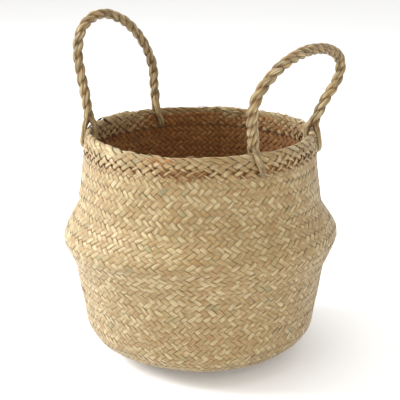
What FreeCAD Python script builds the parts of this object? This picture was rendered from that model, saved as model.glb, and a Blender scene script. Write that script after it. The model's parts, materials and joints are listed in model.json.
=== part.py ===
"""A small plaited seagrass belly basket with two twisted rope handles.

The basket stands on its flat base: +Z is up, the origin is the middle of the base, and the handles
are on the X axis. The plaited cloth is made in the zones that fold or stay whole when the neck is
pushed down into the bowl. Each handle is a rope of two plies, and at each foot the plies part into
a loop that goes over the rim and through a hole in the neck. All sizes are millimetres or degrees.
"""

import FreeCAD, Part
import math
import os

import Sketcher

V = FreeCAD.Vector
ORIGIN, UP = V(0, 0, 0), V(0, 0, 1)

# ---------------------------------------------------------------- driving dimensions
SIZES = {
    "height": 203.2,  # rim above the table
    "belly_radius": 120.65,  # the widest ring, on the ridge of the fold
    "wall": 2.4,  # one layer of plaited cloth, over and under strips together
    "base_radius": 52.0,  # the part that lies flat on the table
    "foot_radius": 80.1,  # where the slack underside turns up into the wall
    "foot_height": 9.0,
    "foot_angle": 73.5,  # that turn's start, below the horizontal
    "foot_curve": 32.0,  # and its radius, in section
    "wall_angle": 9.7,  # where it runs into the straight wall
    "crease_radius": 111.5,  # valley under the fold
    "crease_height": 87.0,
    "ridge_curve": 14.0,  # roundness of the fold's ridge, in section
    "ridge_height": 113.0,
    "neck_radius": 106.8,  # valley over the fold, where the neck starts
    "neck_height": 139.0,
    "rim_radius": 99.0,
    "hem": 2.0,  # the layer that is turned in at the rim
    "hem_depth": 20.0,
    "foot_turn": 30.0,  # each handle foot, round from the X axis
    "hole_height": 186.0,  # where a foot loop goes through the neck
    "hole_radius": 3.3,
    "leg_radius": 2.3,  # one ply where it runs alone
    "loop_half": 5.1,  # half the gap between the two legs of a foot, centre to centre
    "loop_top": 222.0,  # where the legs come together under the rope
    "rope_radius": 4.5,
    "hinge_gap": 1.2,  # between a foot loop and the rope that stands on it
    "left_hinge_out": 87.5,  # each handle's swinging axis, out from the middle
    "right_hinge_out": 90.0,
    "left_tilt": 8.0,  # each handle's plane, out from upright
    "right_tilt": 15.0,
}

# Each rope's route in its own plane: along Y, and up from the axis that the handle swings on.
LEFT_ROUTE = [
    (-48, 0), (-50, 17.5), (-51.5, 36.5), (-47, 54.5), (-31, 67), (-9, 70.5),
    (14, 63.5), (33, 50), (46, 33), (53.5, 14), (51, 0),
]
RIGHT_ROUTE = [
    (-62, 0), (-68, 11.5), (-67.5, 25.5), (-55.5, 38.5), (-37.5, 48), (-17, 53), (7, 54),
    (31, 51.5), (53, 45), (69, 35.5), (74.5, 21.5), (68, 9), (55.5, 0),
]
CORNER_SHARE = 0.45  # how much of the shorter run beside it each of a rope's arcs takes

doc = FreeCAD.newDocument("seagrass_basket")
sheet = doc.addObject("Spreadsheet::Sheet", "Sizes")
for row, (name, value) in enumerate(SIZES.items(), start=1):
    sheet.set(f"A{row}", name)
    sheet.set(f"B{row}", str(value))
    sheet.setAlias(f"B{row}", name)
doc.recompute()


def size(name):
    """A driving dimension, as the sheet holds it."""
    return float(sheet.get(name))


# ---------------------------------------------------------------- turned pieces of plaited cloth
def arc_centre(start, end, radius):
    """Centre of an arc from start to end that bulges to the right of its way."""
    chord = end - start
    aside = V(-chord.y, chord.x, 0).normalize()
    away = math.sqrt(max(radius**2 - (chord.Length / 2) ** 2, 0.0))
    return (start + end) / 2 + aside * away


def turned(label, outline):
    """A body turned about Z from a closed outline of (radius, height, arc), all expressions.

    arc is the radius of the arc from that point to the next one: None for a straight edge, and
    with a leading minus where the arc bulges to the left of its way.
    """
    body = doc.addObject("PartDesign::Body", label)
    body.Label = label
    plane = next(f for f in body.Origin.OriginFeatures if f.Role == "XZ_Plane")
    sketch = body.newObject("Sketcher::SketchObject", label + "_section")
    sketch.AttachmentSupport = (plane, [""])
    sketch.MapMode = "FlatFace"

    def value(expression):
        return float(sheet.evalExpression(expression.replace("Sizes.", "")))

    points = [V(value(r), value(h), 0) for r, h, _ in outline]
    for i, (_, _, arc) in enumerate(outline):
        start, end = points[i], points[(i + 1) % len(points)]
        if arc is None:
            sketch.addGeometry(Part.LineSegment(start, end), False)
            continue
        if arc.startswith("-"):
            start, end = end, start
        radius = value(arc.lstrip("-"))
        centre = arc_centre(start, end, radius)
        angles = [math.atan2(p.y - centre.y, p.x - centre.x) for p in (start, end)]
        circle = Part.Circle(centre, UP, radius)
        sketch.addGeometry(Part.ArcOfCircle(circle, *angles), False)

    def ends(i):
        """The sketcher's numbers for where edge i starts and ends along the outline."""
        backwards = (outline[i][2] or "").startswith("-")
        return (2, 1) if backwards else (1, 2)

    for i, (r, h, arc) in enumerate(outline):
        after = (i + 1) % len(outline)
        add = sketch.addConstraint
        add(Sketcher.Constraint("Coincident", i, ends(i)[1], after, ends(after)[0]))
        across = add(Sketcher.Constraint("DistanceX", -1, 1, i, ends(i)[0], points[i].x))
        sketch.setExpression(f"Constraints[{across}]", r)
        up = add(Sketcher.Constraint("DistanceY", -1, 1, i, ends(i)[0], points[i].y))
        sketch.setExpression(f"Constraints[{up}]", h)
        if arc is not None:
            bend = add(Sketcher.Constraint("Radius", i, value(arc.lstrip("-"))))
            sketch.setExpression(f"Constraints[{bend}]", arc.lstrip("-"))

    turn = body.newObject("PartDesign::Revolution", label + "_turn")
    turn.Profile = sketch
    turn.ReferenceAxis = (sketch, ["V_Axis"])
    turn.Angle = 360
    body.Tip = turn
    return body


def on_arc(centre, radius, angle):
    """The expressions of a point on an arc, angle degrees round from the horizontal."""
    return (
        f"{centre[0]} + ({radius}) * cos(({angle}) * 1deg)",
        f"{centre[1]} + ({radius}) * sin(({angle}) * 1deg)",
    )


def base_mat():
    """The flat plaited mat that the basket stands on."""
    return turned(
        "base_mat",
        [
            ("0", "0", None),
            ("Sizes.base_radius", "0", None),
            ("Sizes.base_radius", "Sizes.wall", None),
            ("0", "Sizes.wall", None),
        ],
    )


def foot_centre():
    """The middle of the curve that turns the underside up into the wall, in section."""
    return (
        "Sizes.foot_radius - Sizes.foot_curve * cos(Sizes.foot_angle * 1deg)",
        "Sizes.foot_height + Sizes.foot_curve * sin(Sizes.foot_angle * 1deg)",
    )


def bowl_foot():
    """The cloth from the base's edge, up the slack underside and round the foot."""
    inside = "Sizes.foot_curve - Sizes.wall"
    return turned(
        "bowl_foot",
        [
            ("Sizes.base_radius", "0", None),
            ("Sizes.foot_radius", "Sizes.foot_height", "Sizes.foot_curve"),
            (*on_arc(foot_centre(), "Sizes.foot_curve", "-Sizes.wall_angle"), None),
            (*on_arc(foot_centre(), inside, "-Sizes.wall_angle"), "-" + inside),
            (*on_arc(foot_centre(), inside, "-Sizes.foot_angle"), None),
            ("Sizes.base_radius", "Sizes.wall", None),
        ],
    )


def bowl_wall():
    """The straight wall from the foot to the valley under the fold."""
    valley = "Sizes.crease_radius", "Sizes.crease_height"
    return turned(
        "bowl_wall",
        [
            (*on_arc(foot_centre(), "Sizes.foot_curve", "-Sizes.wall_angle"), None),
            (*valley, None),
            (valley[0] + " - Sizes.wall", valley[1], None),
            (*on_arc(foot_centre(), "Sizes.foot_curve - Sizes.wall", "-Sizes.wall_angle"), None),
        ],
    )


def tangent_angle(radius, valley_radius, valley_height):
    """Where a straight wall from a valley touches the ridge's curve, in degrees from outwards."""
    across = f"({valley_radius} - Sizes.belly_radius + Sizes.ridge_curve)"
    up = f"abs({valley_height} - Sizes.ridge_height)"
    far = f"sqrt({across} * {across} + {up} * {up})"
    return f"(atan2({up}; {across}) - acos(({radius}) / {far}))"


def fold_half(label, valley_radius, valley_height, side):
    """Half of the fold, from a valley to its ridge: side is -1 below the ridge and 1 above it."""
    centre = ("Sizes.belly_radius - Sizes.ridge_curve", "Sizes.ridge_height")
    ridge = "Sizes.ridge_height"
    section = []
    for radius, valley in (
        ("Sizes.ridge_curve", valley_radius),
        ("Sizes.ridge_curve - Sizes.wall", valley_radius + " - Sizes.wall"),
    ):
        angle = tangent_angle(radius, valley, valley_height)
        touch = (
            f"{centre[0]} + ({radius}) * cos{angle}",
            f"{centre[1]} + {side} * ({radius}) * sin{angle}",
        )
        section.append([(valley, valley_height), touch, (f"{centre[0]} + {radius}", ridge)])
    (valley_out, touch_out, ridge_out), (valley_in, touch_in, ridge_in) = section
    curve_out, curve_in = "Sizes.ridge_curve", "Sizes.ridge_curve - Sizes.wall"
    out_mark, in_mark = ("", "-") if side < 0 else ("-", "")
    return turned(
        label,
        [
            (*valley_out, None),
            (*touch_out, out_mark + curve_out),
            (*ridge_out, None),
            (*ridge_in, in_mark + curve_in),
            (*touch_in, None),
            (*valley_in, None),
        ],
    )


def neck_blank():
    """The neck before its four holes are made. The turned-in hem covers its top edge."""
    top = "Sizes.height - (Sizes.wall + Sizes.hem) / 2"
    return turned(
        "neck_blank",
        [
            ("Sizes.neck_radius", "Sizes.neck_height", None),
            ("Sizes.rim_radius", top, None),
            ("Sizes.rim_radius - Sizes.wall", top, None),
            ("Sizes.neck_radius - Sizes.wall", "Sizes.neck_height", None),
        ],
    )


def hem_blank():
    """The hem: the cloth rolled over the neck's top edge and laid down its inside."""
    roll = "(Sizes.wall + Sizes.hem) / 2"
    slope = "(Sizes.neck_radius - Sizes.rim_radius) / (Sizes.height - Sizes.neck_height)"
    lower = f"Sizes.rim_radius - Sizes.wall + Sizes.hem_depth * {slope}"
    inside = "Sizes.rim_radius - Sizes.wall - Sizes.hem"
    top = f"Sizes.height - {roll}"
    return turned(
        "hem_blank",
        [
            ("Sizes.rim_radius", top, roll),
            (f"Sizes.rim_radius - {roll}", "Sizes.height", roll),
            (inside, top, None),
            (f"{lower} - Sizes.hem", f"{top} - Sizes.hem_depth", None),
            (lower, f"{top} - Sizes.hem_depth", None),
            ("Sizes.rim_radius - Sizes.wall", top, None),
        ],
    )


def feet():
    """Each foot's name, its turn about Z as an expression, and the point its rope stands on."""
    high = size("loop_top")
    left, right = -size("left_hinge_out"), size("right_hinge_out")
    return [
        ("right_front", "-Sizes.foot_turn", V(right, RIGHT_ROUTE[0][0], high)),
        ("right_back", "Sizes.foot_turn", V(right, RIGHT_ROUTE[-1][0], high)),
        ("left_back", "180 - Sizes.foot_turn", V(left, LEFT_ROUTE[-1][0], high)),
        ("left_front", "180 + Sizes.foot_turn", V(left, LEFT_ROUTE[0][0], high)),
    ]


def foot_holes():
    """Four drills that point outwards through the neck and the hem, one at each foot."""
    drills = []
    for name, turn, _ in feet():
        drill = doc.addObject("Part::Cylinder", name + "_drill")
        drill.setExpression("Radius", "Sizes.hole_radius")
        drill.setExpression("Height", "Sizes.rim_radius * 1.5")
        lying = FreeCAD.Rotation(V(0, 1, 0), 90)
        drill.Placement = FreeCAD.Placement(ORIGIN, lying)
        angle = sheet.evalExpression(turn.replace("Sizes.", ""))
        drill.Placement = FreeCAD.Placement(
            V(0, 0, size("hole_height")), FreeCAD.Rotation(UP, float(angle)) * lying
        )
        drill.setExpression("Placement.Base.z", "Sizes.hole_height")
        drills.append(drill)
    fused = doc.addObject("Part::MultiFuse", "foot_drills")
    fused.Shapes = drills
    return fused


def drilled(label, blank, drills):
    """The blank with the four foot holes through it."""
    cut = doc.addObject("Part::Cut", label)
    cut.Label = label
    cut.Base = blank
    cut.Tool = drills
    return cut


# ---------------------------------------------------------------- ropes
def rounded_path(points, radii):
    """Straight runs through the points, joined by tangent arcs of the given radii."""
    edges = []
    start = points[0]
    for before, here, after, radius in zip(points, points[1:], points[2:], radii[1:]):
        back, on = (before - here).normalize(), (after - here).normalize()
        half_turn = (math.pi - back.getAngle(on)) / 2
        reach = radius * math.tan(half_turn)
        middle = here + (back + on).normalize() * (radius / math.cos(half_turn) - radius)
        edges.append(Part.LineSegment(start, here + back * reach).toShape())
        start = here + on * reach
        edges.append(Part.Arc(here + back * reach, middle, start).toShape())
    edges.append(Part.LineSegment(start, points[-1]).toShape())
    return Part.Wire(edges)


def tube(path, start, way, radius):
    """A solid round tube along a path that leaves start in the direction way."""
    ring = Part.Wire(Part.Circle(start, way, radius).toShape())
    return path.makePipeShell([ring], True, False)


def piece(label, shape, placement):
    """A finished sub-part whose shape was made here, set down where it belongs."""
    made = doc.addObject("Part::Feature", label)
    made.Label = label
    made.Shape = shape
    made.Placement = placement
    return made


def foot_loop(label, turn, stand):
    """One foot: a ply parted round the rim, through the hole below it and back up to the rope."""
    outwards = FreeCAD.Rotation(UP, turn).multVec(V(1, 0, 0))
    half, leg = size("loop_half"), size("leg_radius")
    slope = (size("neck_radius") - size("rim_radius")) / (size("height") - size("neck_height"))
    middle = size("rim_radius") - (size("wall") + size("hem")) / 2
    low = middle + slope * (size("height") - size("hole_height"))
    hole = outwards * low + UP * size("hole_height")
    rim = outwards * middle + UP * (size("height") + leg)
    aside = stand - rim
    aside -= outwards * aside.dot(outwards) + UP * aside.z
    rim += aside * 0.5  # the legs already lean towards the rope as they pass the rim
    wide, close = outwards * half, outwards * leg * 1.05
    points = [stand - close, rim - wide, hole - wide, hole + wide, rim + wide, stand + close]
    low_turn, rim_turn = half * 0.95, half * 1.6
    path = rounded_path(points, [0, rim_turn, low_turn, low_turn, rim_turn, 0])
    legs = tube(path, points[0], points[1] - points[0], leg)
    return piece(label, legs, FreeCAD.Placement())


def rope_radii(route):
    """The arc at each point of a route, as large as the two runs beside it allow."""
    radii = [0.0]
    for before, here, after in zip(route, route[1:], route[2:]):
        runs = (here - before).Length, (after - here).Length
        half_turn = (here - before).getAngle(after - here) / 2
        radii.append(CORNER_SHARE * min(runs) / math.tan(half_turn))
    return radii + [0.0]


def handle(label, route, out, tilt):
    """A rope from foot to foot, in a plane that tilts about the axis through its round ends."""
    points = [V(0, along, up) for along, up in route]
    radii = rope_radii(points)
    radius = size("rope_radius")
    path = rounded_path(points, radii)
    rope = tube(path, points[0], points[1] - points[0], radius)
    share = rope.Volume / (path.Length * math.pi * radius**2)
    print(f"{label}: {path.Length:.1f} mm, volume {share:.4f} of its section times its length")
    print("  radii " + ", ".join(f"{r:.0f}" for r in radii[1:-1]))
    ends = [Part.makeSphere(radius, points[0]), Part.makeSphere(radius, points[-1])]
    hinge = size("loop_top") + size("hinge_gap") + radius
    stand = FreeCAD.Placement(V(out, 0, hinge), FreeCAD.Rotation(V(0, 1, 0), tilt))
    return piece(label, rope.fuse(ends), stand)


# ---------------------------------------------------------------- the basket
drills = foot_holes()
parts = [
    base_mat(),
    bowl_foot(),
    bowl_wall(),
    fold_half("belly_underside", "Sizes.crease_radius", "Sizes.crease_height", -1),
    fold_half("belly_shoulder", "Sizes.neck_radius", "Sizes.neck_height", 1),
    drilled("neck_wall", neck_blank(), drills),
    drilled("rim_hem", hem_blank(), drills),
]
for foot, turn, stand in feet():
    angle = float(sheet.evalExpression(turn.replace("Sizes.", "")))
    parts.append(foot_loop(foot + "_foot_loop", angle, stand))
parts += [
    handle("left_handle_rope", LEFT_ROUTE, -size("left_hinge_out"), -size("left_tilt")),
    handle("right_handle_rope", RIGHT_ROUTE, size("right_hinge_out"), size("right_tilt")),
]
doc.recompute()

for thing in doc.Objects:
    if {"Invalid", "Error"} & set(thing.State):
        raise RuntimeError(f"{thing.Label} failed: {thing.State}")
os.makedirs("parts", exist_ok=True)
for part in parts:
    shape = part.Shape
    if shape.isNull() or not shape.isValid() or len(shape.Solids) != 1:
        raise RuntimeError(f"{part.Label} has no sound shape")
    shape.exportStep(os.path.join("parts", part.Label + ".step"))
    box = shape.BoundBox
    print(f"{part.Label}: {len(shape.Solids)} solid, {shape.Volume / 1000:.2f} cm3, "
          f"z {box.ZMin:.1f} to {box.ZMax:.1f}")
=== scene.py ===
import json
import math

import bpy
import numpy as np
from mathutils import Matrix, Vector
from mathutils.kdtree import KDTree


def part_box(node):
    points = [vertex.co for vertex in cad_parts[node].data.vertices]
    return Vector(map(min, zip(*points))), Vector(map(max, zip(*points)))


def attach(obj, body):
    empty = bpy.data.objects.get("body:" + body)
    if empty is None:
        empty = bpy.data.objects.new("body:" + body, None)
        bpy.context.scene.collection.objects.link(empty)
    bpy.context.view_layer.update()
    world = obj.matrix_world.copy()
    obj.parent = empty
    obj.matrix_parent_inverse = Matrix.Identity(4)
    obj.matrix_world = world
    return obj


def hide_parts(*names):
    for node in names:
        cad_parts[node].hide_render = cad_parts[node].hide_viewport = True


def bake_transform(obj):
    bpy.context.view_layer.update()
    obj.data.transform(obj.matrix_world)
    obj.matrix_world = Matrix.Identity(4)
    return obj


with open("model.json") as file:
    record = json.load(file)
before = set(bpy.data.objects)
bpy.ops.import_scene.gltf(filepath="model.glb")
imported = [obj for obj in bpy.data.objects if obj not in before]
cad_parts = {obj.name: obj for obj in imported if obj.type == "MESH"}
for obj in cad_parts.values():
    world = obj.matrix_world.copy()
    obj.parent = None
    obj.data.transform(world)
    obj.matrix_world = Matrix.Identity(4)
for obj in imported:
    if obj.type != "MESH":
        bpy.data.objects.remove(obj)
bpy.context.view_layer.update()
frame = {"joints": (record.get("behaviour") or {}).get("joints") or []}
bpy.ops.object.select_all(action="DESELECT")

# ---------------------------------------------------------------- bowl, belly and neck
# The basket is one cloth, plaited from flattened stems of dried seagrass that go over two and under
# two. Its section starts at the middle of the base and runs out along the slack underside, round the
# foot, up the wall, over the belly's fold, up the neck, over the rim and down inside as the hem.
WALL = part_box("base_mat")[1].z
BASE_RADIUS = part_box("base_mat")[1].x
CREASE_RADIUS, CREASE_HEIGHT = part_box("bowl_wall")[1].x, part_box("bowl_wall")[1].z
BELLY_RADIUS, RIDGE_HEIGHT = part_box("belly_underside")[1].x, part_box("belly_underside")[1].z
NECK_RADIUS, NECK_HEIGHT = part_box("neck_wall")[1].x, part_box("neck_wall")[0].z
RIM_RADIUS, FOLD_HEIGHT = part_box("rim_hem")[1].x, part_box("neck_wall")[1].z
RIM_HEIGHT, HEM_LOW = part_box("rim_hem")[1].z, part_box("rim_hem")[0].z - 0.006
FOOT = (0.0992, 0.0151)  # where the underside's slope and the wall's would meet
RIDGE = (BELLY_RADIUS + 0.00163, RIDGE_HEIGHT + 0.0015)  # and the two sides of the fold


def rounded_section(corners, step=0.0004):
    """Even points along straight runs with rounded corners, each corner (radius, height, rounding)."""
    path = [np.array(corners[0][:2])]
    for before, here, after in zip(corners, corners[1:], corners[2:]):
        corner = np.array(here[:2])
        back, on = np.array(before[:2]) - corner, np.array(after[:2]) - corner
        back, on = back / np.linalg.norm(back), on / np.linalg.norm(on)
        half_turn = (math.pi - math.acos(np.clip(back @ on, -1, 1))) / 2
        start = corner + back * here[2] * math.tan(half_turn)
        inward = (back + on) / np.linalg.norm(back + on)
        centre = corner + inward * here[2] / math.cos(half_turn)
        turn = 2 * half_turn * np.sign(on[1] * -back[0] + on[0] * back[1])
        for share in np.linspace(0, 1, 24):
            c, s = math.cos(turn * share), math.sin(turn * share)
            arm = start - centre
            path.append(centre + np.array([arm[0] * c - arm[1] * s, arm[0] * s + arm[1] * c]))
    path.append(np.array(corners[-1][:2]))
    path = np.array(path)
    lengths = np.r_[0, np.cumsum(np.linalg.norm(np.diff(path, axis=0), axis=1))]
    even = np.arange(0, lengths[-1], step)
    return np.c_[np.interp(even, lengths, path[:, 0]), np.interp(even, lengths, path[:, 1])]


outer = rounded_section([
    (0.0, 0.0, 0), (BASE_RADIUS, 0.0, 0.05), (*FOOT, 0.032),
    (CREASE_RADIUS, CREASE_HEIGHT, 0.006), (*RIDGE, 0.014),
    (NECK_RADIUS, NECK_HEIGHT, 0.007), (RIM_RADIUS, FOLD_HEIGHT, 0),
])
tangent = np.gradient(outer, axis=0)
tangent /= np.linalg.norm(tangent, axis=1)[:, None]
middle = outer - np.c_[tangent[:, 1], -tangent[:, 0]] * WALL / 2

# From here on the line is the middle of the cloth, and strips lie to both sides of it. It goes over
# the rim in a half circle, then down the inside of the neck.
fold = RIM_HEIGHT - FOLD_HEIGHT - WALL / 2 + 0.0001
slope = (NECK_RADIUS - RIM_RADIUS) / (FOLD_HEIGHT - NECK_HEIGHT)
top = middle[-1]
over = [
    (top[0] - fold + fold * math.cos(a), top[1] + fold * math.sin(a))
    for a in np.linspace(0, math.pi, 14)[1:]
]
down = [
    (over[-1][0] + slope * drop, over[-1][1] - drop)
    for drop in np.arange(0.0004, FOLD_HEIGHT - HEM_LOW, 0.0004)
]
middle = np.r_[middle, over, down]
section_s = np.r_[0, np.cumsum(np.linalg.norm(np.diff(middle, axis=0), axis=1))]
tangent = np.gradient(middle, section_s, axis=0)
tangent /= np.linalg.norm(tangent, axis=1)[:, None]
rim_s = section_s[len(middle) - len(down) - len(over) // 2]
ridge_s = section_s[np.argmax(middle[:, 0])]
FREE_FROM, FREE_WITHIN = 0.05, 0.05  # where the cloth leaves the flat base, and may start to wander
SAG, SAG_REACH = 0.0016, 0.03  # how far the fold sags, and how far from the ridge that is felt
SAG_TURN = math.radians(214)  # where round the belly the fold sags most


def on_cloth(s, theta, out):
    """Points at arc length s along the section, turned to theta, and out from the cloth's middle.

    The cloth is handmade: its rows wander and its walls are a little out of round above the base.
    """
    r = np.interp(s, section_s, middle[:, 0])
    free = np.clip((s - FREE_FROM) / FREE_WITHIN, 0, 1)
    round_ = theta + free * (
        0.0006 * np.sin(3 * theta - 90 * s + 1) + 0.0005 * np.sin(7 * theta + 130 * s)
    ) / np.maximum(r, 0.02)
    s = s + free * (0.0006 * np.sin(4 * theta + 70 * s) + 0.0005 * np.sin(9 * theta - 110 * s + 2))
    out = out + free * (
        0.0007 * np.sin(2 * theta + 0.6) + 0.0004 * np.sin(5 * theta + 60 * s)
        + 0.0003 * np.sin(11 * theta - 150 * s)
    )
    r, z = np.interp(s, section_s, middle[:, 0]), np.interp(s, section_s, middle[:, 1])
    along_r = np.interp(s, section_s, tangent[:, 0])
    along_z = np.interp(s, section_s, tangent[:, 1])
    r, z = r + along_z * out, z - along_r * out
    about = theta - SAG_TURN
    near_ridge = np.exp(-(((s - ridge_s) / SAG_REACH) ** 2))
    sag = near_ridge * (SAG * np.cos(about) + SAG * np.cos(2 * about))
    return np.stack([r * np.cos(round_), r * np.sin(round_), z - sag], axis=-1)


# 108 strips lean right and 108 lean left. Each row is one ring of crossings. The strips keep their
# width, so rows come closer together where the basket is wide.
STRIPS = 108
STRIP_WIDTH = 0.00396
MAT_ROWS = STRIPS // 4  # rings of crossings in the square mat of the base
MAT_RADIUS = 0.0800
TUCK_DEPTH = 0.0080  # how far below the rim the neck's cloth ends, under the hem

random = np.random.default_rng(7)
low_half = slice(len(outer) // 2)  # below the fold each radius comes once
mat_s = float(np.interp(MAT_RADIUS, middle[low_half, 0], section_s[low_half]))
row_s = list(np.linspace(0, mat_s, MAT_ROWS + 1))
while row_s[-1] < section_s[-1]:
    pitch = 2 * math.pi * np.interp(row_s[-1], section_s, middle[:, 0]) / STRIPS
    row_s.append(row_s[-1] + STRIP_WIDTH * pitch / (2 * math.sqrt(pitch**2 - STRIP_WIDTH**2)))
row_s = np.array(row_s)
row_k = np.arange(len(row_s)) - MAT_ROWS
row_z = np.interp(row_s, section_s, middle[:, 1])


def row_at(height):
    """The first row above the mat that is at least this high."""
    return int(row_k[MAT_ROWS + np.argmax(row_z[MAT_ROWS:] >= height)])


CREASE_ROW, RIDGE_ROW = row_at(CREASE_HEIGHT), row_at(RIDGE_HEIGHT)
NECK_ROW, TUCK_ROW = row_at(NECK_HEIGHT), row_at(RIM_HEIGHT - TUCK_DEPTH)

# One strip is a flattened stem: almost flat outside, with soft edges, as these points across it say.
ACROSS = np.array([-0.5, -0.40, -0.14, 0.14, 0.40, 0.5, 0.34, -0.34])
CROWN = np.array([0.05, 0.78, 1.0, 1.0, 0.78, 0.05, -0.85, -0.85])
HALF_THICK = 0.00038
SWING = 0.00058  # how far a strip lies out from the cloth's middle when it is over, or in when under
DIVE_FROM, DIVE_WITHIN = 0.16, 0.68  # the part of the way to the next crossing in which it dives
RINGS = 3  # rings of points from one crossing to the next
LEAN_LENGTH = 1.45  # length of a leaning strip for each unit of the section's length
LOOSE_REACH = 0.006  # how far from the rim single strips stand out of line


def lie(value_at, t):
    """A value at t from its values at whole crossings: it holds on a float, then changes."""
    low = np.floor(t + 1e-9).astype(int)
    here, after = value_at(low), value_at(low + 1)
    share = np.clip((t - low - DIVE_FROM) / DIVE_WITHIN, 0, 1)
    return here + (after - here) * share * share * (3 - 2 * share)


def strip_mesh(name, points, strand, painted_shade, close_start, close_end):
    """A mesh of closed strips from points (strip, ring, across) and each point's place on its strip."""
    strips, rings, sides = points.shape[:3]
    index = np.arange(strips * rings * sides).reshape(strips, rings, sides)
    a, b = index[:, :-1], index[:, 1:]
    quads = np.stack([a, np.roll(a, -1, 2), np.roll(b, -1, 2), b], axis=-1).reshape(-1, 4)
    first, after = points[0, 0], points[0, 1]
    spread = first - first.mean(axis=0)
    turn = np.cross(spread, np.roll(spread, -1, 0)).sum(axis=0)
    caps = [index[:, 0, ::-1]] * close_start + [index[:, -1]] * close_end
    faces = quads.tolist() + [face for cap in caps for face in cap.tolist()]
    if np.dot(turn, (after - first).mean(axis=0)) < 0:
        faces = [face[::-1] for face in faces]
    mesh = bpy.data.meshes.new(name)
    mesh.from_pydata(points.reshape(-1, 3).tolist(), [], faces)
    smooth = np.ones(len(faces), bool)
    smooth[len(quads):] = False
    mesh.polygons.foreach_set("use_smooth", smooth)
    place = mesh.attributes.new("strand", "FLOAT_VECTOR", "POINT")
    place.data.foreach_set("vector", strand.reshape(-1).astype(np.float32))
    # The amount of painted shade at each point, which the material multiplies in as a brown.
    inner = mesh.attributes.new("painted_shade", "FLOAT", "POINT")
    inner.data.foreach_set("value", painted_shade.reshape(-1).astype(np.float32))
    mesh.update()
    obj = bpy.data.objects.new(name, mesh)
    bpy.context.collection.objects.link(obj)
    return obj


def new_strips(count, rows, thin, thick):
    """What makes each strip, and each of its floats, unlike the next."""
    return {
        "seed": random.random(count)[:, None, None],
        "width": random.uniform(thin, thick, count)[:, None, None],
        "phase": random.uniform(0, 2 * math.pi, (2, count))[:, :, None, None],
        "fat": random.normal(1, 0.13, (count, rows)),
        "tilt": random.normal(0, 0.00026, (count, rows)),
        "loose": random.normal(0, 0.0005, count)[:, None, None],
        "pull": random.uniform(0.1, 0.9, count)[:, None, None],
    }


def plaited(name, lean, strips, rows, first, last, sides, lift, close_start, close_end, breadth):
    """All the strips of one lean from row first to row last, as one piece.

    rows holds the row numbers and their arc lengths, sides gives the side in each row, lift how far
    the strips lie out from the middle at each arc length, and breadth their share of full width.
    """
    count = len(strips["width"])
    t = np.linspace(first, last, int((last - first) * RINGS) + 1)
    k = t[None, :, None]
    side = lie(sides, t)[None, :, None]
    fat = lie(lambda low: strips["fat"][:, low // 2], t)[:, :, None]
    tilt = lie(lambda low: strips["tilt"][:, low // 2], t)[:, :, None]
    one, two = strips["phase"]
    wander = 0.04 * np.sin(0.7 * k + one) + 0.02 * np.sin(1.9 * k + two)
    width = breadth(k, strips["pull"]) * strips["width"] * (1 + 0.04 * side) * (0.7 + 0.3 * fat)
    across = ACROSS * width + wander
    turn = 1 if lean == "right" else -1
    theta = math.pi * (2 * np.arange(count)[:, None, None] + turn * k + across) / count
    s = np.interp(k - turn * across, *rows)
    loose = strips["loose"] * np.exp(-(((s - rim_s) / LOOSE_REACH) ** 2))
    out = side * SWING + CROWN * HALF_THICK * fat + ACROSS * tilt + lift(s) + loose
    along = np.interp(k, *rows) * LEAN_LENGTH + 0 * across
    number = strips["seed"] + 0.0012 * fat
    strand = np.stack([along, ACROSS + 0 * along, number + 0 * along], axis=-1)
    # Painted shade: brown where a strip lies under others, strongest on the neck's cloth pressed deep
    # behind the hem's gaps, and a little on the inside past the rim.
    painted_shade = np.clip(0.5 - (out - lift(s)) / 0.0008, 0, 1) + np.clip((-lift(s) - 0.0007) / 0.0006, 0, 1)
    painted_shade = np.clip(painted_shade + 0.25 * np.clip((s - rim_s) / 0.006, 0, 1), 0, 1)
    points = on_cloth(s, theta, out)
    return strip_mesh(name, points, strand, painted_shade, close_start, close_end)
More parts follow.
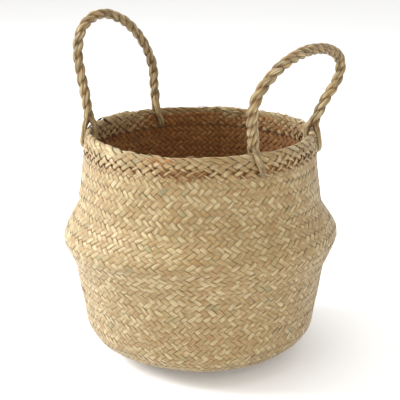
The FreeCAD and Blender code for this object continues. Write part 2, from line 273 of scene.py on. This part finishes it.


# Dried stems are cream to straw, some greenish or rusty: the tone drifts along each stem, fine streaks
# run with the grain, and the edges are darker, partly from wear and partly as painted shade of the gaps.
# Shade is painted in brown where the strips lie deep, behind gaps and inside. The finish is dull.
def seagrass(name, tones, shade_colour, drift, streak, bump):
    """A material that reads each strand's own length, breadth and number, and paints shade into the
    depths.
    """
    material = bpy.data.materials.new(name)
    material.use_nodes = True
    nodes, links = material.node_tree.nodes, material.node_tree.links
    shader = nodes["Principled BSDF"]
    shader.inputs["Roughness"].default_value = 0.55
    shader.inputs["Sheen Weight"].default_value = 0.15
    shader.inputs["Specular IOR Level"].default_value = 0.35

    place = nodes.new("ShaderNodeAttribute")
    place.attribute_name = "strand"

    def stretched(along, across, number, detail):
        """Noise on the strand's own coordinates, stretched by the three factors."""
        stretch = nodes.new("ShaderNodeVectorMath")
        stretch.operation = "MULTIPLY"
        stretch.inputs[1].default_value = (along, across, number)
        links.new(place.outputs["Vector"], stretch.inputs[0])
        noise = nodes.new("ShaderNodeTexNoise")
        noise.inputs["Scale"].default_value = 1
        noise.inputs["Detail"].default_value = detail
        links.new(stretch.outputs[0], noise.inputs["Vector"])
        return noise.outputs["Fac"]

    def mapped(value, low, high, to_low, to_high):
        """A value carried from one range to another, and kept inside it."""
        span = nodes.new("ShaderNodeMapRange")
        span.inputs["From Min"].default_value = low
        span.inputs["From Max"].default_value = high
        span.inputs["To Min"].default_value = to_low
        span.inputs["To Max"].default_value = to_high
        links.new(value, span.inputs["Value"])
        return span.outputs[0]

    ramp = nodes.new("ShaderNodeValToRGB")
    spots = np.linspace(0.27, 0.75, len(tones))
    ramp.color_ramp.elements[0].position = spots[0]
    ramp.color_ramp.elements[1].position = spots[-1]
    for spot in spots[1:-1]:
        ramp.color_ramp.elements.new(float(spot))
    for stop, tone in zip(ramp.color_ramp.elements, tones):
        stop.color = (*tone, 1)
    links.new(stretched(drift, 0.2, 917, 2.5), ramp.inputs["Fac"])

    grain = stretched(60, 11, 431, 4)
    # The edges of each strip and stem are darker: partly wear, partly painted shade of the gaps and
    # crevices between them.
    part = nodes.new("ShaderNodeSeparateXYZ")
    links.new(place.outputs["Vector"], part.inputs[0])
    edge = nodes.new("ShaderNodeMath")
    edge.operation = "ABSOLUTE"
    links.new(part.outputs["Y"], edge.inputs[0])
    shade = nodes.new("ShaderNodeMath")
    shade.operation = "MULTIPLY"
    links.new(mapped(grain, 0.3, 0.7, 1 - 0.5 * streak, 1 + 0.35 * streak), shade.inputs[0])
    links.new(mapped(edge.outputs[0], 0.34, 0.5, 1, 0.5), shade.inputs[1])
    tint = nodes.new("ShaderNodeVectorMath")
    tint.operation = "SCALE"
    links.new(ramp.outputs["Color"], tint.inputs[0])
    links.new(shade.outputs[0], tint.inputs["Scale"])

    # Painted shade: the colour is multiplied by a brown as far as each point's shade attribute says.
    inner = nodes.new("ShaderNodeAttribute")
    inner.attribute_name = "painted_shade"
    shade_mix = nodes.new("ShaderNodeMix")
    shade_mix.data_type = "RGBA"
    shade_mix.blend_type = "MULTIPLY"
    shade_mix.inputs["B"].default_value = (*shade_colour, 1)
    links.new(inner.outputs["Fac"], shade_mix.inputs["Factor"])
    links.new(tint.outputs[0], shade_mix.inputs["A"])
    links.new(shade_mix.outputs["Result"], shader.inputs["Base Color"])

    ridges = nodes.new("ShaderNodeBump")
    ridges.inputs["Strength"].default_value = bump
    ridges.inputs["Distance"].default_value = 0.0003
    links.new(grain, ridges.inputs["Height"])
    links.new(ridges.outputs[0], shader.inputs["Normal"])
    return material


PALE, CREAM, STRAW = (0.46, 0.36, 0.195), (0.36, 0.255, 0.115), (0.30, 0.192, 0.072)
TAN, GREENISH, RUSTY = (0.225, 0.13, 0.043), (0.265, 0.225, 0.105), (0.30, 0.17, 0.06)
# The brown given below is painted shade, multiplied in where strips lie under others, behind the hem's
# gaps and inside.
cloth_material = seagrass(
    "seagrass_strip",
    [TAN, GREENISH, CREAM, STRAW, PALE, STRAW, CREAM, RUSTY, CREAM, GREENISH],
    (0.74, 0.42, 0.18), 30, 0.6, 0.6,
)

# The cloth is made in zones. The bowl's zone, up to the crease, goes with the bowl; the underside,
# shoulder and neck stay where they are.
wall_cloth = {
    lean: new_strips(STRIPS, len(row_k), 1.03, 1.10) for lean in ("right", "left")
}
TWILL = {
    "right": lambda k: np.where(np.mod(k, 4) < 2, 1.0, -1.0),
    "left": lambda k: np.where(np.mod(k, 4) < 2, -1.0, 1.0),
}
PRESSED = 0.0013  # how much deeper the neck's cloth lies
PRESSED_FROM, PRESSED_WITHIN = 0.0195, 0.003  # from how far below the rim, and within how much


def pressed(s):
    """The neck's cloth lies a little deeper where the hem's turned-down strips cover it."""
    return -PRESSED * np.clip((s - (rim_s - PRESSED_FROM)) / PRESSED_WITHIN, 0, 1)


ZONES = [
    ("bowl", 0, CREASE_ROW, ("bowl_foot", "bowl_wall")),
    ("underside", CREASE_ROW, RIDGE_ROW, ("belly_underside",)),
    ("shoulder", RIDGE_ROW, NECK_ROW, ("belly_shoulder",)),
    ("neck", NECK_ROW, TUCK_ROW, ("neck_wall",)),
]
for zone, first, last, nodes_replaced in ZONES:
    for lean, cloth in wall_cloth.items():
        piece = plaited(
            f"{zone}_{lean}_strips", lean, cloth, (row_k, row_s), first, last,
            TWILL[lean], pressed, False, zone == "neck", lambda k, pull: 1.0,
        )
        piece.data.materials.append(cloth_material)
        if zone == "bowl":
            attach(piece, "bowl")
        else:
            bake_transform(piece)
        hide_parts(*nodes_replaced)

# ---------------------------------------------------------------- hem
# At the rim wider strips are folded over at a flat angle, so the edge looks like a rope, and are
# plaited over one and under one, outside and inside. Their ends are pulled thin and tucked in about
# 19 mm below the rim, which leaves a row of gaps.
HEM_STRIPS = 66
HEM_ROWS = np.array([
    -0.0206, -0.0172, -0.0138, -0.0105, -0.0074, -0.0046, -0.0022, 0,
    0.0022, 0.0046, 0.0074, 0.0105, 0.0138, 0.0172, 0.0206,
])
hem_k = np.arange(len(HEM_ROWS))
TUCKED = -2.6  # the side of a strip's end that is tucked in under the rest
LEFT_SIDES = np.array([TUCKED, 1, -1, 1, -1, 1, 1, 1, 1, 1, -1, 1, -1, 1, TUCKED, TUCKED])
RIGHT_SIDES = np.array([TUCKED, -1, 1, -1, 1, -1, -1, -1, -1, -1, 1, -1, 1, -1, TUCKED, TUCKED])


def over_cloth(s):
    """The hem's strips lie 0.7 mm out on the neck's cloth outside, and settle towards the rim."""
    return 0.0007 * np.clip((rim_s - 0.002 - s) / 0.009, 0, 1)


def thinned(k, pull):
    """Some of the hem's strips are pulled narrow in their last rows, which leaves gaps."""
    rows_from_end = np.minimum(k, len(HEM_ROWS) - 1 - k)
    return 1 - pull * np.clip((4.0 - rows_from_end) / 1.4, 0, 1)


for lean, side_list in (("right", RIGHT_SIDES), ("left", LEFT_SIDES)):
    piece = plaited(
        f"hem_{lean}_strips", lean, new_strips(HEM_STRIPS, 12, 0.82, 1.08),
        (hem_k, rim_s + HEM_ROWS), 1 - 2 / 3, len(HEM_ROWS) - 2 + 2 / 3,
        lambda k, held=side_list: held[k], over_cloth, True, True, thinned,
    )
    piece.data.materials.append(cloth_material)
    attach(piece, "neck")
    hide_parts("rim_hem", "neck_wall")

# ---------------------------------------------------------------- base mat
# The cloth starts as a square mat of 54 by 54 strips. Its rings of crossings are squares in the
# middle and open out to circles at the edge, where each strip carries on up the wall.


def on_mat(m, n):
    """Arc length and turn of the mat's point (m, n), both in rows from the middle."""
    ring = np.maximum(np.maximum(abs(m), abs(n)), 1e-6)
    sector = np.where(
        abs(m) >= abs(n), np.where(m >= 0, 0.0, math.pi), np.sign(n) * math.pi / 2
    )
    beside = m * -np.sin(sector) + n * np.cos(sector)
    theta = sector + math.pi / 4 * beside / np.minimum(ring, MAT_ROWS)
    s = np.interp(ring - MAT_ROWS, row_k, row_s)
    inner = np.clip(1.25 - ring / MAT_ROWS, 0, 1)
    plain = inner * inner * (3 - 2 * inner)
    unit = mat_s / MAT_ROWS
    x = s * np.cos(theta) * (1 - plain) + unit * m * plain
    y = s * np.sin(theta) * (1 - plain) + unit * n * plain
    return np.hypot(x, y), np.arctan2(y, x)


def mat_side(m, n, up_right):
    """1 where a strip of the mat is outside at the crossing (m, n): the wall's rows, carried inwards."""
    ring = np.maximum(abs(m), abs(n)).astype(int) - MAT_ROWS
    in_x = abs(m) > abs(n)
    right_over = TWILL["right"](ring)
    return right_over * np.where(in_x, 1, -1) * (1 if up_right else -1)


def on_strip(along, number, up_right):
    """Mat coordinates of the middle of one strip at a distance along it, in rows."""
    m, n = (along + number) / 2, (along - number) / 2
    return (m, n) if up_right else (m, -n)


for direction, up_right in (("diagonal", True), ("cross", False)):
    parts = []
    for number in range(1 - 2 * MAT_ROWS, 2 * MAT_ROWS, 2):
        reach = 2 * MAT_ROWS - abs(number)
        t = np.linspace(-reach, reach, reach * RINGS + 1)
        steps = np.clip(np.arange(reach + 2) * 2 - reach, -reach, reach)
        sides = mat_side(*on_strip(steps, number, up_right), up_right)
        side = lie(lambda step: sides[step], (t + reach) / 2)[:, None]
        across = ACROSS[None, :] * random.uniform(0.88, 1.0)
        m, n = on_strip(t[:, None] + 0 * across, number, up_right)
        m, n = (m + across, n - across) if up_right else (m + across, n + across)
        s, theta = on_mat(m, n)
        out = side * SWING + CROWN * HALF_THICK
        along = t[:, None] * mat_s / MAT_ROWS / math.sqrt(2) + 0 * across
        strand = np.stack([along, ACROSS + 0 * along, random.random() + 0 * along], axis=-1)
        # Painted shade where the mat's strips lie under others.
        painted_shade = np.clip(0.5 - out / 0.0008, 0, 1)
        parts.append(strip_mesh(
            f"base_{direction}_{number + 2 * MAT_ROWS}", on_cloth(s, theta, out)[None],
            strand[None], painted_shade[None], True, True,
        ))
    bpy.ops.object.select_all(action="DESELECT")
    for part in parts:
        part.select_set(True)
    bpy.context.view_layer.objects.active = parts[0]
    bpy.ops.object.join()
    piece = bpy.context.object
    piece.name = f"base_{direction}_strips"
    piece.data.materials.append(cloth_material)
    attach(piece, "bowl")
    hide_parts("base_mat", "bowl_foot")

# ---------------------------------------------------------------- stray fibres on the rim
# Split ends of the strips that stick out along the rim. Each is a thin tapered stem that leaves the
# cloth at a flat angle and curls up a little.
count, rings = 190, 7
along = np.linspace(0, 1, rings)[None, :]
start = random.uniform(0, 2 * math.pi, count)[:, None]
length = random.uniform(0.005, 0.016, count)[:, None] * random.choice([-1, 1], count)[:, None]
low = random.normal(-0.001, 0.0035, count)[:, None]
rise = random.uniform(0.2, 1.0, count)[:, None]
theta = start + length * along / RIM_RADIUS
fibre_s = rim_s + low - abs(length) * 0.25 * along
lifted = 0.0009 + 0.0034 * rise * along**2
line = on_cloth(fibre_s, theta, lifted)
thick = random.uniform(0.00022, 0.00055, count)[:, None] * (1 - 0.75 * along**2)
turn = np.linspace(0, 2 * math.pi, 5, endpoint=False)
radial = np.stack([np.cos(theta), np.sin(theta), 0 * theta], axis=-1)
points = line[:, :, None] + thick[..., None, None] * (
    radial[:, :, None] * np.cos(turn)[:, None] + np.array([0, 0, 1]) * np.sin(turn)[:, None]
)
strand = np.stack(np.broadcast_arrays(
    (abs(length) * along)[..., None], 0.15 * np.cos(turn), random.random((count, 1, 1))
), axis=-1)
for number in range(count):
    if length[number, 0] < 0:
        points[number] = points[number, :, ::-1]
piece = strip_mesh("rim_fibres", points, strand, 0 * strand[..., 0], True, True)
piece.data.materials.append(cloth_material)
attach(piece, "neck")
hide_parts("rim_hem")

# ---------------------------------------------------------------- rope handles
# Two ropes of two plies, each ply a bundle of seagrass stems. At each foot the plies part over the
# rim, one goes down inside and one outside, and they meet in a hole through the neck.
LEFT_ROUTE = [
    (-0.048, 0), (-0.05, 0.0175), (-0.0515, 0.0365), (-0.047, 0.0545), (-0.031, 0.067),
    (-0.009, 0.0705), (0.014, 0.0635), (0.033, 0.05), (0.046, 0.033), (0.0535, 0.014),
    (0.051, 0),
]
RIGHT_ROUTE = [
    (-0.062, 0), (-0.068, 0.0115), (-0.0675, 0.0255), (-0.0555, 0.0385), (-0.0375, 0.048),
    (-0.017, 0.053), (0.007, 0.054), (0.031, 0.0515), (0.053, 0.045), (0.069, 0.0355),
    (0.0745, 0.0215), (0.068, 0.009), (0.0555, 0),
]
ROPE_LAY = 0.0225  # length of one full turn of the two plies
PLY_RADIUS = 0.0033
PLY_OUT = 0.0016  # how far each ply's middle is from the rope's
STEMS = 5  # stems that show round each ply
STEM_TURN = 0.14  # length of one full turn of the stems in a ply
PLY_POINTS = 40  # points round a ply
LINE_STEP = 0.0009  # from one ring of points to the next along a ply
TILTS = {"left": -8, "right": 15}  # degrees that each handle leans outwards, seen along Y
FOOT_TURN = math.radians(30)
HOLE_HEIGHT = 0.186
DEEP_UNDER, DEEP_WITHIN = 0.0044, 0.0012  # how near the rope's centre a ply gets painted shade, and within what
LEG_OUT = 0.0050  # from the rim's middle to each ply's where it passes the rim
HOLE_ASIDE = {("right", 0): 0.0055, ("left", -1): -0.0055}  # how far some holes sit off to one side
PLAIN_END = 0.006  # length at each end of the rope where the plies don't turn
PARTING = 0.004  # length at each end in which they part

hinges = {j["child"]: Vector(j["pos_m"]) for j in frame["joints"] if "pos_m" in j}
rim_middle = RIM_RADIUS - WALL / 2 - fold
# The rope's brown is painted shade in the crevices where the plies lie against each other.
rope_material = seagrass(
    "seagrass_rope",
    [TAN, GREENISH, (0.17, 0.108, 0.038), CREAM, STRAW, PALE, (0.17, 0.108, 0.038), CREAM,
     GREENISH, TAN], (0.5, 0.36, 0.2), 22, 1.2, 0.9,
)


def length_along(line):
    """The distance along a line to each of its points."""
    return np.r_[0, np.cumsum(np.linalg.norm(np.diff(line, axis=0), axis=1))]


def smooth_line(points, order, step):
    """Even points along the smooth curve that these points control."""
    curve = bpy.data.curves.new("line", "CURVE")
    curve.dimensions = "3D"
    curve.resolution_u = 16
    spline = curve.splines.new("NURBS")
    spline.points.add(len(points) - 1)
    for control, point in zip(spline.points, points):
        control.co = (*point, 1)
    spline.order_u = order
    spline.use_endpoint_u = True
    holder = bpy.data.objects.new("line", curve)
    bpy.context.collection.objects.link(holder)
    mesh = bpy.data.meshes.new_from_object(holder)
    line = np.array([v.co for v in mesh.vertices])
    bpy.data.objects.remove(holder)
    lengths = length_along(line)
    even = np.linspace(0, lengths[-1], max(3, int(lengths[-1] / step)))
    return np.stack([np.interp(even, lengths, line[:, i]) for i in range(3)], axis=-1)


def carried_frames(line, side):
    """Two directions across a line at each point, carried along from side without twisting."""
    way = np.gradient(line, axis=0)
    way /= np.linalg.norm(way, axis=1)[:, None]
    sides = []
    for w in way:
        side = side - w * (side @ w)
        side = side / np.linalg.norm(side)
        sides.append(side)
    return np.array(sides), np.cross(way, sides)


def ply_piece(name, line, radius, centre):
    """A bundle of stems along a line, with painted shade where it lies deep against the rope's centre.
    """
    side, up = carried_frames(line, np.array([0.31, 0.52, 0.79]))
    s = length_along(line)[:, None]
    round_ = np.linspace(0, 2 * math.pi, PLY_POINTS, endpoint=False)[None, :]
    stem = round_ * STEMS / (2 * math.pi)
    thick = random.uniform(0.93, 1.05, STEMS)[(stem % STEMS).astype(int)]
    shape = thick * (0.80 + 0.22 * np.sin(math.pi * (stem % 1)) ** 0.5)
    shape = shape + 0.02 * np.sin(2 * round_ + s * 260)
    angle = round_ - 2 * math.pi * s / STEM_TURN
    reach = radius[:, None] * shape
    points = (
        line[:, None]
        + side[:, None] * (reach * np.cos(angle))[..., None]
        + up[:, None] * (reach * np.sin(angle))[..., None]
    )
    number = np.floor(stem) * 0.137 + random.random()
    strand = np.stack([s + 0 * round_, stem % 1 - 0.5 + 0 * s, number + 0 * s], axis=-1)
    tree = KDTree(len(centre))
    for i, point in enumerate(centre):
        tree.insert(point, i)
    tree.balance()
    near = np.array([tree.find(point)[2] for point in points.reshape(-1, 3)])
    # Painted shade near the rope's centre, where the plies press together.
    crevice_shade = np.clip((DEEP_UNDER - near) / DEEP_WITHIN, 0, 1).reshape(points.shape[:2])
    piece = strip_mesh(name, points[None], strand[None], crevice_shade[None], True, True)
    piece.data.materials.append(rope_material)
    return piece


def foot_line(turn, aside, outwards):
    """One ply from the hole in the neck, up past the rim on its own side."""
    radial = np.array([math.cos(turn), math.sin(turn), 0])
    along_rim = np.array([-math.sin(turn), math.cos(turn), 0])
    up = np.array([0, 0, 1])
    line = []
    for height, out, share in (
        (HOLE_HEIGHT, 0.0, 1), (HOLE_HEIGHT - 0.0006, 0.62, 1), (HOLE_HEIGHT + 0.001, 1.0, 0.95),
        (HOLE_HEIGHT + 0.007, 1.02, 0.7), (RIM_HEIGHT - 0.006, 1.0, 0.25),
        (RIM_HEIGHT + 0.001, 0.96, 0.05),
    ):
        radius = rim_middle + slope * (RIM_HEIGHT - height) + outwards * out * LEG_OUT
        line.append(radial * radius + along_rim * aside * share + up * height)
    return line


for side_name, route, sign in (("left", LEFT_ROUTE, -1), ("right", RIGHT_ROUTE, 1)):
    body = side_name + "_handle"
    hinge = hinges[body]
    tilt = math.radians(TILTS[side_name])
    plane_up = np.array([math.sin(tilt), 0, math.cos(tilt)])
    held_route = [np.array(hinge) + np.array([0, y, 0]) + plane_up * up for y, up in route]
    turns_about = [
        math.atan2(math.copysign(math.sin(FOOT_TURN), route[end][0]), sign * math.cos(FOOT_TURN))
        for end in (0, -1)
    ]
    radials = [np.array([math.cos(turn), math.sin(turn), 0]) for turn in turns_about]
    rims = [radial * rim_middle + np.array([0, 0, RIM_HEIGHT + 0.002]) for radial in radials]
    centre = smooth_line([rims[0]] + held_route + [rims[1]], 3, LINE_STEP)
    lengths = length_along(centre)
    side, up = carried_frames(centre, radials[0])
    # The plies' turn ends with the outer one outside again, so each foot straddles the rim.
    last = math.atan2(up[-1] @ radials[1], side[-1] @ radials[1])
    share = np.clip((lengths - PLAIN_END) / (lengths[-1] - 2 * PLAIN_END), 0, 1)
    full = last - 2 * math.pi * round((last - 2 * math.pi * lengths[-1] / ROPE_LAY) / (2 * math.pi))
    angle = full * share
    parted = np.clip(1 - np.minimum(lengths, lengths[-1] - lengths) / PARTING, 0, 1)
    offset = PLY_OUT + (LEG_OUT * 0.9 - PLY_OUT) * parted * parted * (3 - 2 * parted)
    across = (np.cos(angle)[:, None] * side + np.sin(angle)[:, None] * up) * offset[:, None]
    for ply, outwards in (("outer", 1), ("inner", -1)):
        helix = centre + outwards * across
        feet = [
            foot_line(turn, HOLE_ASIDE.get((side_name, end), 0), outwards)
            for turn, end in zip(turns_about, (0, -1))
        ]
        line = smooth_line(feet[0] + list(helix[2:-2:3]) + feet[1][::-1], 4, LINE_STEP)
        alone = np.clip((RIM_HEIGHT + 0.008 - line[:, 2]) / 0.008, 0, 1)
        piece = ply_piece(f"{side_name}_{ply}_ply", line, PLY_RADIUS * (1 - 0.2 * alone), centre)
        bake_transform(piece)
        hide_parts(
            side_name + "_handle_rope",
            side_name + "_front_foot_loop", side_name + "_back_foot_loop",
        )

# ---------------------------------------------------------------- camera
# It looks down a little at the belly, from the side where both handles show.
LOOK_AT = Vector((0, 0, 0.1375))
CAMERA_FAR = 0.9
CAMERA_ROUND, CAMERA_UP = math.radians(34), math.radians(17.2)

towards = Vector((
    math.sin(CAMERA_ROUND) * math.cos(CAMERA_UP),
    -math.cos(CAMERA_ROUND) * math.cos(CAMERA_UP),
    math.sin(CAMERA_UP),
))
bpy.ops.object.camera_add(location=LOOK_AT + towards * CAMERA_FAR)
camera = bpy.context.object
camera.rotation_euler = (-towards).to_track_quat("-Z", "Y").to_euler()
camera.data.sensor_width = 36
camera.data.lens = 91
bpy.context.scene.camera = camera

# ---------------------------------------------------------------- floor and light
# A plain pale floor, a large soft light from the left, a weaker fill from the right and a soft light
# from above.
bpy.ops.mesh.primitive_plane_add(size=12, location=(0, 0, -0.0002))
floor = bpy.context.object
floor.name = "floor"
paper = bpy.data.materials.new("paper")
paper.use_nodes = True
surface = paper.node_tree.nodes["Principled BSDF"].inputs
surface["Base Color"].default_value = (0.9, 0.9, 0.9, 1)
surface["Roughness"].default_value = 0.8
surface["Emission Color"].default_value = (1, 1, 1, 1)
surface["Emission Strength"].default_value = 0.14
floor.data.materials.append(paper)

world = bpy.data.worlds.new("studio")
bpy.context.scene.world = world
world.use_nodes = True
world.node_tree.nodes["Background"].inputs["Color"].default_value = (1, 0.99, 0.97, 1)
world.node_tree.nodes["Background"].inputs["Strength"].default_value = 0.8


def soft_light(name, place, size, power, tint):
    """A square soft box that faces the basket."""
    bpy.ops.object.light_add(type="AREA", location=place)
    light = bpy.context.object
    light.name = name
    light.data.size = size
    light.data.energy = power
    light.data.color = tint
    light.rotation_euler = (LOOK_AT - Vector(place)).to_track_quat("-Z", "Y").to_euler()


soft_light("key", (-1.35, -0.75, 1.0), 0.8, 46, (0.93, 0.97, 1.0))
soft_light("fill", (1.2, -0.9, 0.7), 1.2, 6, (1, 1, 1))
soft_light("top", (-0.1, -0.2, 1.6), 1.2, 9, (1, 1, 1))
bpy.context.scene.view_settings.view_transform = "Standard"
